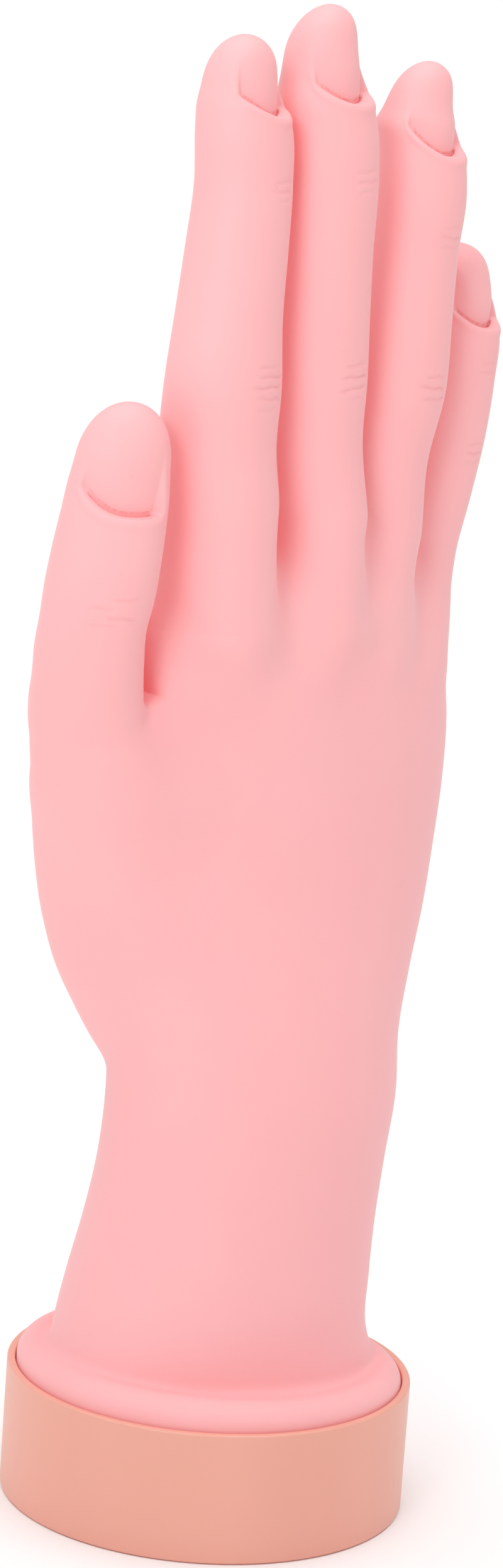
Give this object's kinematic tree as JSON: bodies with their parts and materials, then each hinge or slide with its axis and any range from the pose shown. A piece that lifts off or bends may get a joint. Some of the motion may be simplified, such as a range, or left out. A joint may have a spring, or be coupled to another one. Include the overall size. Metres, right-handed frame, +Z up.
{
  "type": "nail training hand",
  "caption": "Free-standing soft training hand for nail practice, with bendable jointed fingers, slots for false nail tips and a round cup base.",
  "frame": {"origin": "centre of the base underside, on the table", "axes": "+Z up along the hand, back of the hand towards -Y, palm towards +Y, thumb towards -X, little finger towards +X"},
  "size_m": [0.0913, 0.068, 0.2488],
  "materials": {
    "pink_silicone": "matte soft moulded skin",
    "peach_plastic": "satin moulded plastic",
    "white_plastic": "moulded nylon",
    "link_nylon": "moulded nylon",
    "alloy": "drawn tube",
    "screw_steel": "zinc plated",
    "grip_rubber": "soft non-slip ring"
  },
  "bodies": {
    "hand_base": {"base_cup": "peach_plastic", "foot_ring": "grip_rubber", "base_screws": "screw_steel", "wrist_plug": "white_plastic", "armature_stem": "alloy", "palm_plate": "white_plastic", "plate_screws": "screw_steel", "knuckle_pins": "screw_steel", "palm_skin": "pink_silicone", "thumb_root_flex_skin": "pink_silicone", "index_root_flex_skin": "pink_silicone", "middle_root_flex_skin": "pink_silicone", "ring_root_flex_skin": "pink_silicone", "little_root_flex_skin": "pink_silicone"},
    "thumb_proximal": {"thumb_proximal_link": "link_nylon", "thumb_ip_pin": "screw_steel", "thumb_proximal_skin": "pink_silicone", "thumb_ip_flex_skin": "pink_silicone"},
    "thumb_tip": {"thumb_distal_link": "link_nylon", "thumb_fingertip_skin": "pink_silicone"},
    "index_proximal": {"index_proximal_link": "link_nylon", "index_pip_pin": "screw_steel", "index_proximal_skin": "pink_silicone", "index_pip_flex_skin": "pink_silicone"},
    "index_middle": {"index_middle_link": "link_nylon", "index_dip_pin": "screw_steel", "index_middle_skin": "pink_silicone", "index_dip_flex_skin": "pink_silicone"},
    "index_tip": {"index_distal_link": "link_nylon", "index_fingertip_skin": "pink_silicone"},
    "middle_proximal": {"middle_proximal_link": "link_nylon", "middle_pip_pin": "screw_steel", "middle_proximal_skin": "pink_silicone", "middle_pip_flex_skin": "pink_silicone"},
    "middle_middle": {"middle_middle_link": "link_nylon", "middle_dip_pin": "screw_steel", "middle_middle_skin": "pink_silicone", "middle_dip_flex_skin": "pink_silicone"},
    "middle_tip": {"middle_distal_link": "link_nylon", "middle_fingertip_skin": "pink_silicone"},
    "ring_proximal": {"ring_proximal_link": "link_nylon", "ring_pip_pin": "screw_steel", "ring_proximal_skin": "pink_silicone", "ring_pip_flex_skin": "pink_silicone"},
    "ring_middle": {"ring_middle_link": "link_nylon", "ring_dip_pin": "screw_steel", "ring_middle_skin": "pink_silicone", "ring_dip_flex_skin": "pink_silicone"},
    "ring_tip": {"ring_distal_link": "link_nylon", "ring_fingertip_skin": "pink_silicone"},
    "little_proximal": {"little_proximal_link": "link_nylon", "little_pip_pin": "screw_steel", "little_proximal_skin": "pink_silicone", "little_pip_flex_skin": "pink_silicone"},
    "little_middle": {"little_middle_link": "link_nylon", "little_dip_pin": "screw_steel", "little_middle_skin": "pink_silicone", "little_dip_flex_skin": "pink_silicone"},
    "little_tip": {"little_distal_link": "link_nylon", "little_fingertip_skin": "pink_silicone"}
  },
  "joints": [
    {"name": "thumb_root", "type": "hinge", "parent": "hand_base", "child": "thumb_proximal", "pos_m": [-0.03528, 0.00365, 0.14602], "axis": [-0.8919, 0.4494, 0.0511], "range_deg": [-5, 25], "deforming": ["thumb_root_flex_skin"]},
    {"name": "thumb_ip", "type": "hinge", "parent": "thumb_proximal", "child": "thumb_tip", "pos_m": [-0.0355, 0.00202, 0.15659], "axis": [-0.8919, 0.4494, 0.0511], "range_deg": [0, 55], "deforming": ["thumb_ip_flex_skin"]},
    {"name": "index_root", "type": "hinge", "parent": "hand_base", "child": "index_proximal", "pos_m": [-0.01684, -0.00314, 0.17719], "axis": [-1, 0, -0.0095], "range_deg": [-10, 40], "deforming": ["index_root_flex_skin"]},
    {"name": "index_pip", "type": "hinge", "parent": "index_proximal", "child": "index_middle", "pos_m": [-0.01696, -0.00313, 0.18949], "axis": [-1, 0, -0.0095], "range_deg": [0, 60], "deforming": ["index_pip_flex_skin"]},
    {"name": "index_dip", "type": "hinge", "parent": "index_middle", "child": "index_tip", "pos_m": [-0.01725, -0.00311, 0.22049], "axis": [-1, 0, -0.0095], "range_deg": [0, 45], "deforming": ["index_dip_flex_skin"]},
    {"name": "middle_root", "type": "hinge", "parent": "hand_base", "child": "middle_proximal", "pos_m": [0.00356, -0.00384, 0.17721], "axis": [-0.9976, 0, -0.0688], "range_deg": [-10, 40], "deforming": ["middle_root_flex_skin"]},
    {"name": "middle_pip", "type": "hinge", "parent": "middle_proximal", "child": "middle_middle", "pos_m": [0.00267, -0.00397, 0.19008], "axis": [-0.9976, 0, -0.0688], "range_deg": [0, 60], "deforming": ["middle_pip_flex_skin"]},
    {"name": "middle_dip", "type": "hinge", "parent": "middle_middle", "child": "middle_tip", "pos_m": [0.00047, -0.0043, 0.222], "axis": [-0.9976, 0, -0.0688], "range_deg": [0, 45], "deforming": ["middle_dip_flex_skin"]},
    {"name": "ring_root", "type": "hinge", "parent": "hand_base", "child": "ring_proximal", "pos_m": [0.0207, -0.00178, 0.17152], "axis": [-0.9995, 0, 0.0302], "range_deg": [-10, 40], "deforming": ["ring_root_flex_skin"]},
    {"name": "ring_pip", "type": "hinge", "parent": "ring_proximal", "child": "ring_middle", "pos_m": [0.02121, -0.00263, 0.18849], "axis": [-0.9995, 0, 0.0302], "range_deg": [0, 60], "deforming": ["ring_pip_flex_skin"]},
    {"name": "ring_dip", "type": "hinge", "parent": "ring_middle", "child": "ring_tip", "pos_m": [0.02196, -0.00386, 0.21305], "axis": [-0.9995, 0, 0.0302], "range_deg": [0, 45], "deforming": ["ring_dip_flex_skin"]},
    {"name": "little_root", "type": "hinge", "parent": "hand_base", "child": "little_proximal", "pos_m": [0.0377, 0.002, 0.166], "axis": [-0.9998, 0, 0.0221], "range_deg": [-10, 40], "deforming": ["little_root_flex_skin"]},
    {"name": "little_pip", "type": "hinge", "parent": "little_proximal", "child": "little_middle", "pos_m": [0.03795, 0.00089, 0.17715], "axis": [-0.9998, 0, 0.0221], "range_deg": [0, 60], "deforming": ["little_pip_flex_skin"]},
    {"name": "little_dip", "type": "hinge", "parent": "little_middle", "child": "little_tip", "pos_m": [0.03826, -0.00053, 0.19137], "axis": [-0.9998, 0, 0.0221], "range_deg": [0, 45], "deforming": ["little_dip_flex_skin"]}
  ]
}
